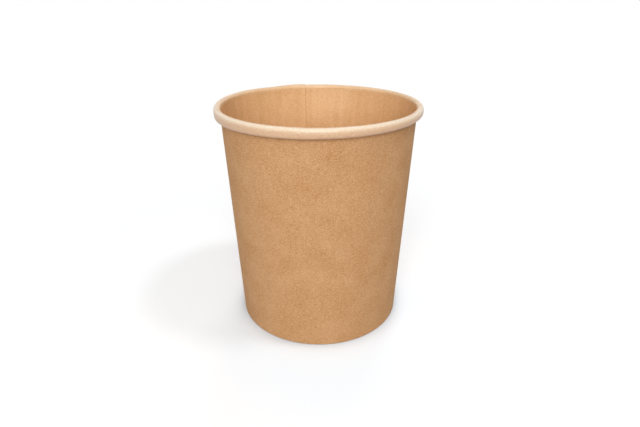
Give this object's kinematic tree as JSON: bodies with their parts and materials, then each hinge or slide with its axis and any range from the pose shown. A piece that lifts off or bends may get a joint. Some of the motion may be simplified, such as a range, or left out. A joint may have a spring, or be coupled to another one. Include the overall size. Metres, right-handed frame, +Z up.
{
  "type": "paper soup cup",
  "caption": "Round tapered kraft-board soup cup with a rolled rim, a glued side seam and a recessed base disc held in a folded hem.",
  "frame": {"origin": "centre of the foot, on the plane the cup stands on", "axes": "+Z up along the cup's axis; the picture was taken from -Y, so the side seam is at the back, towards +Y"},
  "size_m": [0.117, 0.117, 0.1314],
  "materials": {
    "kraft_board": "matte",
    "kraft_base": "matte"
  },
  "bodies": {
    "root": {"sidewall": "kraft_board", "base_disc": "kraft_base"}
  },
  "joints": []
}
